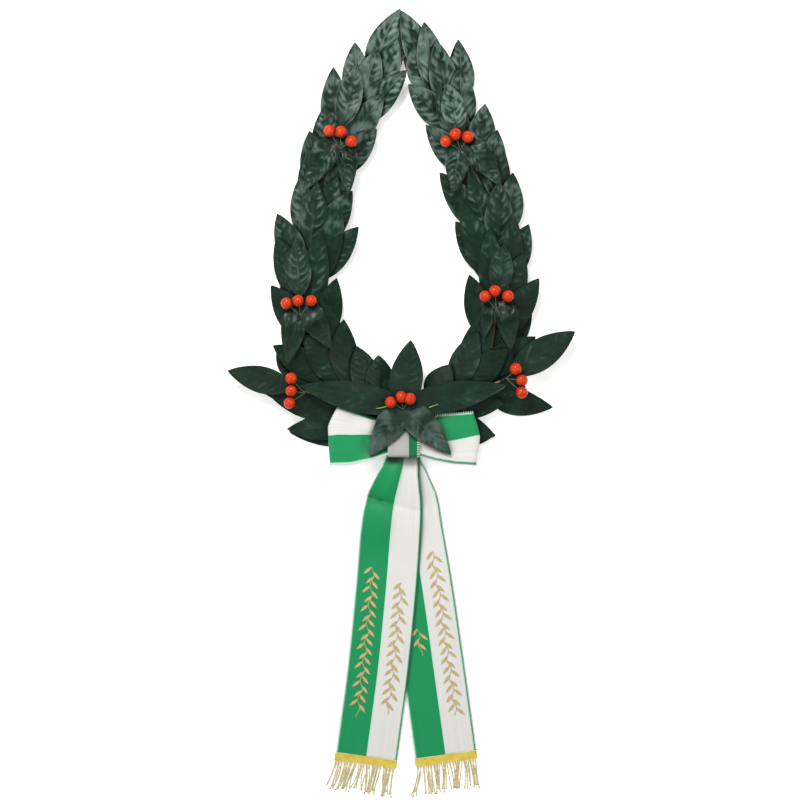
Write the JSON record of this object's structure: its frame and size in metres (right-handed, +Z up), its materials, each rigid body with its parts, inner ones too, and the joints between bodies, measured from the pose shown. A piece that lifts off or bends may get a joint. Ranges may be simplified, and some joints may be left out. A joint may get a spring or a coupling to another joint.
{
  "type": "laurel wreath",
  "caption": "Pointed laurel-leaf wreath on a wrapped wire hoop, with red berry clusters, a green and white ribbon bow and long fringed ribbon tails.",
  "frame": {"origin": "on the flat underside of the hoop, at the middle of its lower arc", "axes": "+Z up, out of the wreath's face as it lies on its back; +Y towards the wreath's point, the tails lie towards -Y; +X to the right seen from above"},
  "size_m": [0.3983, 0.9065, 0.041],
  "materials": {
    "hoop_wrap": "matt crepe wrap",
    "leaf": "waxed leaf with embossed veins, satin",
    "berry": "lacquered, glossy",
    "ribbon": "ribbed satin ribbon",
    "band": "ribbed satin ribbon",
    "braid": "woven gold braid",
    "fringe": "twisted gold thread"
  },
  "bodies": {
    "root": {"hoop": "hoop_wrap", "sprig_left_01": "leaf", "sprig_left_02": "leaf", "sprig_left_03": "leaf", "sprig_left_04": "leaf", "sprig_left_05": "leaf", "sprig_left_06": "leaf", "sprig_left_07": "leaf", "sprig_left_08": "leaf", "sprig_left_09": "leaf", "sprig_left_10": "leaf", "sprig_left_11": "leaf", "sprig_left_12": "leaf", "sprig_left_13": "leaf", "sprig_left_14": "leaf", "sprig_left_15": "leaf", "sprig_left_16": "leaf", "sprig_right_01": "leaf", "sprig_right_02": "leaf", "sprig_right_03": "leaf", "sprig_right_04": "leaf", "sprig_right_05": "leaf", "sprig_right_06": "leaf", "sprig_right_07": "leaf", "sprig_right_08": "leaf", "sprig_right_09": "leaf", "sprig_right_10": "leaf", "sprig_right_11": "leaf", "sprig_right_12": "leaf", "sprig_right_13": "leaf", "sprig_right_14": "leaf", "sprig_right_15": "leaf", "sprig_right_16": "leaf", "spray_left_upper": "leaf", "spray_right_upper": "leaf", "spray_left_lower": "leaf", "spray_right_lower": "leaf", "spray_left_end": "leaf", "spray_right_end": "leaf", "spray_middle": "leaf", "berries_left_upper": "berry", "berries_right_upper": "berry", "berries_left_lower": "berry", "berries_right_lower": "berry", "berries_left_end": "berry", "berries_right_end": "berry", "berries_middle": "berry", "bow_loop_left": "ribbon", "bow_loop_right": "ribbon", "bow_band": "band", "tail_left": "ribbon", "braid_left": "braid", "fringe_left": "fringe", "tail_right": "ribbon", "braid_right": "braid", "fringe_right": "fringe"}
  },
  "joints": []
}
